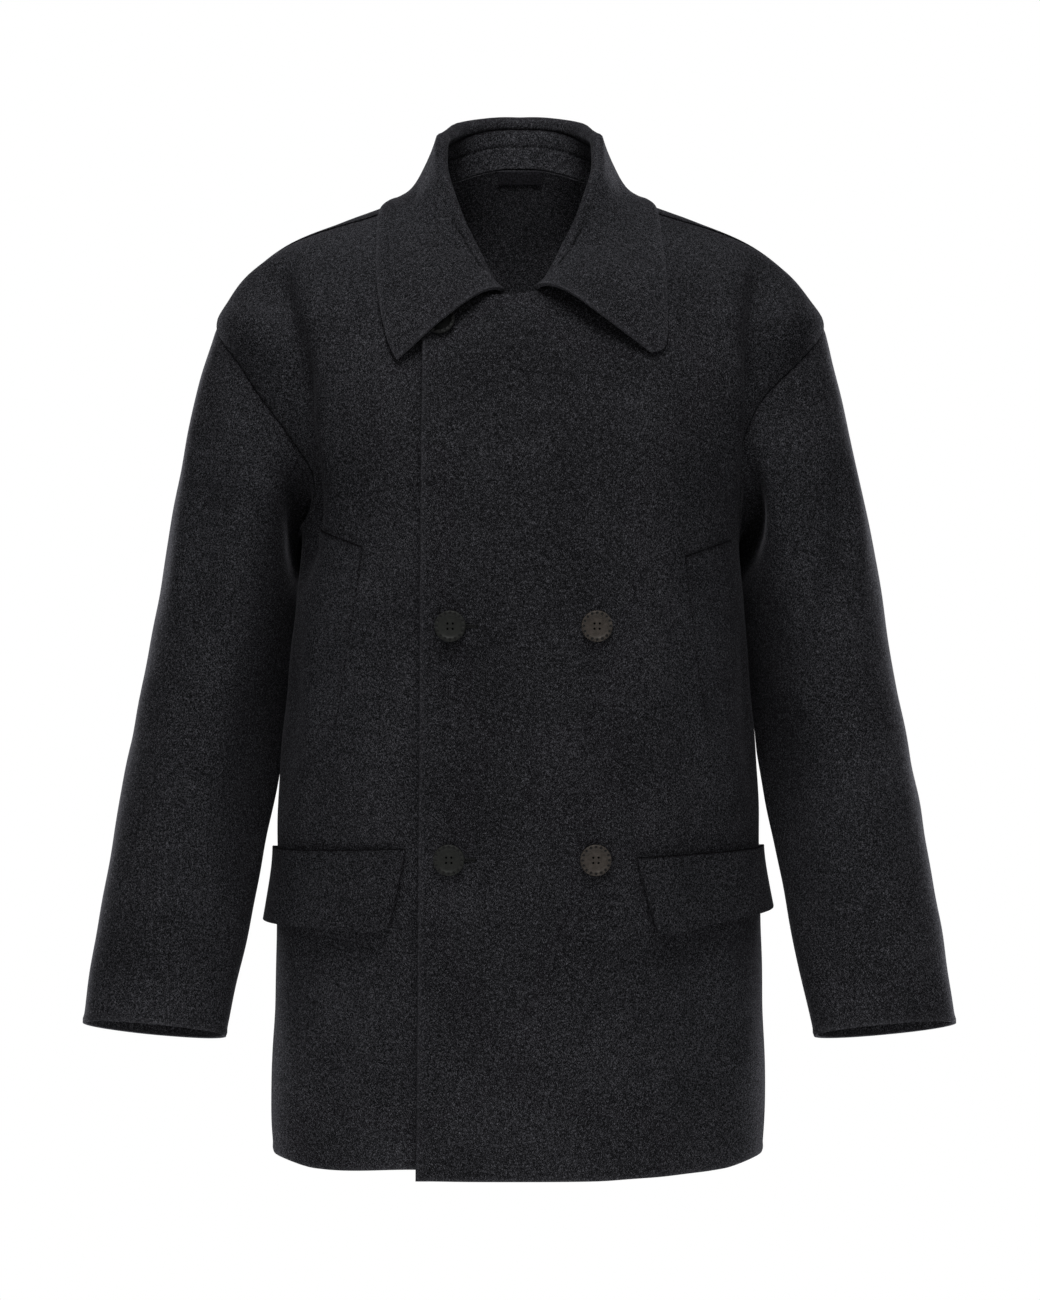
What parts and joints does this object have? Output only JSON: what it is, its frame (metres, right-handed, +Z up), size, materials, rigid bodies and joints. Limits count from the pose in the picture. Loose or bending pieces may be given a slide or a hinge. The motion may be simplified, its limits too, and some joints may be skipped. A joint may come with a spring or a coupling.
{
  "type": "double-breasted peacoat",
  "caption": "Hip-length double-breasted wool coat in its worn shape, with a turned-down collar, slanted chest welts, hip pocket flaps and plain set-in sleeves.",
  "frame": {"origin": "middle of the neck opening at the height where the shoulder seams meet it, where the wearer's neck and shoulders carry the coat", "axes": "+Z up the wearer's body, +X towards the wearer's left, +Y towards the wearer's back; the buttoned front faces -Y"},
  "size_m": [0.7472, 0.2913, 0.9157],
  "materials": {
    "melton": "felted wool with paler flecks, matt",
    "tape": "woven tape, matt",
    "horn": "cast polyester button, low sheen"
  },
  "bodies": {
    "root": {"back": "melton", "front_over": "melton", "front_under": "melton", "sleeve_left": "melton", "sleeve_right": "melton", "collar_stand": "melton", "collar": "melton", "flap_left": "melton", "flap_right": "melton", "welt_left": "melton", "welt_right": "melton", "label": "tape", "button_upper_right": "horn", "button_upper_left": "horn", "button_lower_right": "horn", "button_lower_left": "horn", "button_neck": "horn"}
  },
  "joints": []
}
